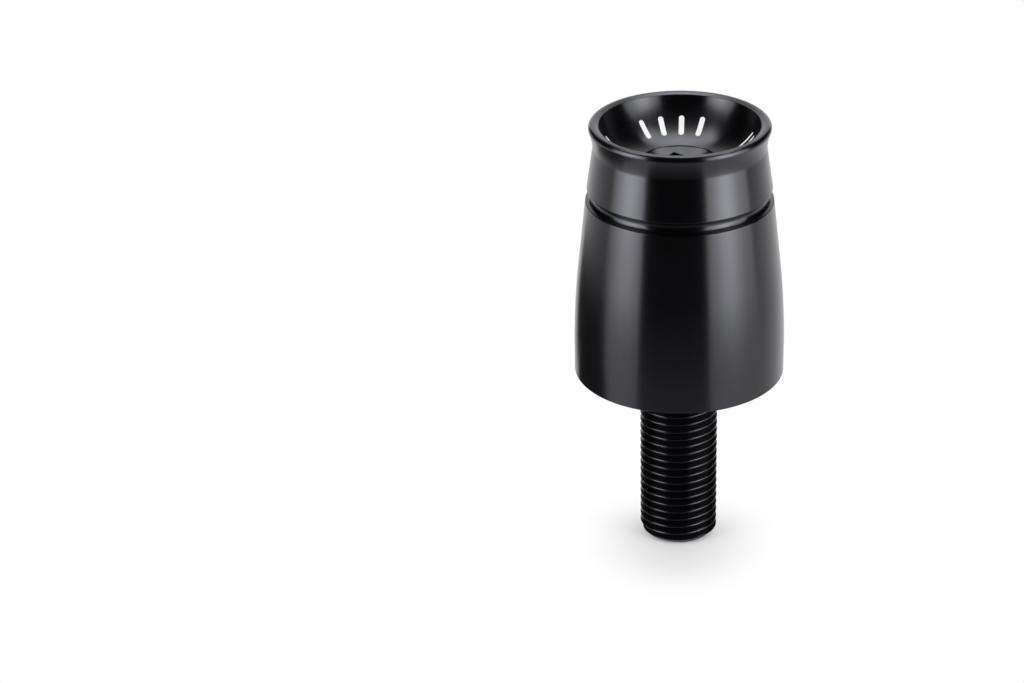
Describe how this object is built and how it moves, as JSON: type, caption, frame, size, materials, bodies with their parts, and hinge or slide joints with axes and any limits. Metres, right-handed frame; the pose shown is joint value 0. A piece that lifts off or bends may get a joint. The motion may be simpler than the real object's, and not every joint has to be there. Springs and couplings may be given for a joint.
{
  "type": "bar end weight",
  "caption": "Turned aluminium weight with a threaded stud, a grooved barrel, a flared rim and a hexagon socket in a dish, for the end of a handlebar.",
  "frame": {"origin": "centre of the stud's end face, on which the part stands", "axes": "+Z along the turned axis, from the stud's end to the dished end"},
  "size_m": [0.0376, 0.0376, 0.0805],
  "materials": {
    "black_anodised": "glossy black anodised"
  },
  "bodies": {
    "root": {"bar_end_weight": "black_anodised"}
  },
  "joints": []
}
